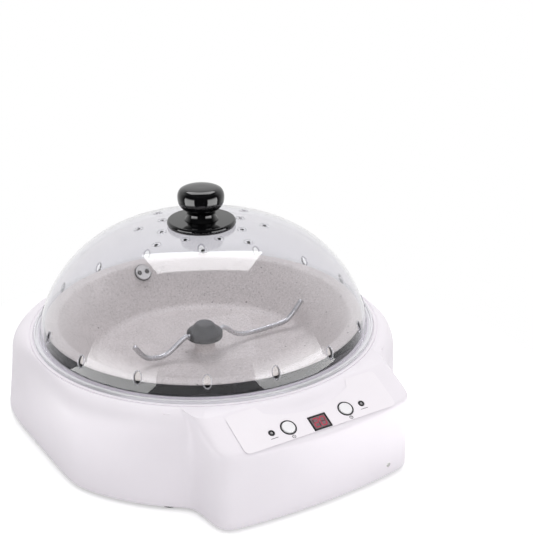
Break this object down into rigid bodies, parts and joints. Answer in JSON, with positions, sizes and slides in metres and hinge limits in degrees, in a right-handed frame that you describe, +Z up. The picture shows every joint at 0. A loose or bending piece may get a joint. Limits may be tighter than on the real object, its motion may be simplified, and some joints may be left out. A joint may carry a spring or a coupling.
{
  "type": "coffee bean roaster",
  "caption": "Countertop electric roaster: a heated round pan with a powered stirrer under a clear lift-off dome, on a moulded body with a sloping control panel.",
  "frame": {"origin": "centre of the whole footprint, on the table", "axes": "+Z up; -Y towards the user, out of the control box's front; +X to the user's right"},
  "size_m": [0.277, 0.3184, 0.1838],
  "materials": {
    "white_plastic": "satin white moulding",
    "clear_plastic": "clear polished plastic",
    "black_gloss": "polished black",
    "black_matt": "matt black",
    "speckled_coating": "pale speckled non-stick coating",
    "steel": "plain steel",
    "dark_steel": "darkened steel",
    "bronze": "sintered bronze",
    "rubber": "matt rubber",
    "board_green": "circuit board",
    "part_black": "black moulding",
    "display_red": "dark red window",
    "lamp_lens": "pale lens",
    "label_film": "printed film"
  },
  "bodies": {
    "base": {"base_plate": "white_plastic", "base_screw_front_left": "dark_steel", "base_screw_front_right": "dark_steel", "base_screw_rear_left": "dark_steel", "base_screw_rear_right": "dark_steel", "button_ring_left": "black_gloss", "button_ring_right": "black_gloss", "control_board": "board_green", "control_panel": "label_film", "cord_gland": "part_black", "display_frame": "black_gloss", "display_module": "part_black", "display_window": "display_red", "foot_front_left": "rubber", "foot_front_right": "rubber", "foot_rear_left": "rubber", "foot_rear_right": "rubber", "front_screw": "dark_steel", "gear_motor": "steel", "heat_shield": "steel", "heating_element": "dark_steel", "housing": "white_plastic", "lamp_left": "lamp_lens", "lamp_right": "lamp_lens", "lamp_ring_left": "black_gloss", "lamp_ring_right": "black_gloss", "motor_bracket": "steel", "motor_screw_left": "dark_steel", "motor_screw_right": "dark_steel", "pan": "speckled_coating", "pan_ring": "black_gloss", "power_board": "board_green", "relay": "part_black", "sensor_cap": "steel", "sensor_screw_left": "dark_steel", "sensor_screw_right": "dark_steel", "shaft_bush": "bronze", "shield_post_1": "steel", "shield_post_2": "steel", "shield_post_3": "steel", "switch_left": "part_black", "switch_right": "part_black", "thermal_fuse": "white_plastic", "thermostat": "part_black"},
    "lid": {"lid_dome": "clear_plastic", "knob_disc": "black_gloss", "knob": "black_gloss", "knob_washer": "steel", "knob_screw": "steel"},
    "drive": {"drive_shaft": "steel"},
    "stirrer": {"stirrer_hub": "black_matt", "stirrer_arm_long": "steel", "stirrer_arm_short": "steel"},
    "button_left_body": {"button_left": "white_plastic"},
    "button_right_body": {"button_right": "white_plastic"}
  },
  "joints": [
    {"name": "lid_lift", "type": "slide", "parent": "base", "child": "lid", "axis": [0, 0, 1], "range_m": [0, 0.12]},
    {"name": "drive_spin", "type": "hinge", "parent": "base", "child": "drive", "pos_m": [0, 0.00735, 0.05], "axis": [0, 0, 1], "continuous": true},
    {"name": "stirrer_lift", "type": "slide", "parent": "drive", "child": "stirrer", "axis": [0, 0, 1], "range_m": [0, 0.03]},
    {"name": "button_left_press", "type": "slide", "parent": "base", "child": "button_left_body", "axis": [0, 0.4384, -0.8988], "range_m": [0, 0.0012], "stiffness_N_per_m": 400, "springref_m": -0.001},
    {"name": "button_right_press", "type": "slide", "parent": "base", "child": "button_right_body", "axis": [0, 0.4384, -0.8988], "range_m": [0, 0.0012], "stiffness_N_per_m": 400, "springref_m": -0.001}
  ]
}
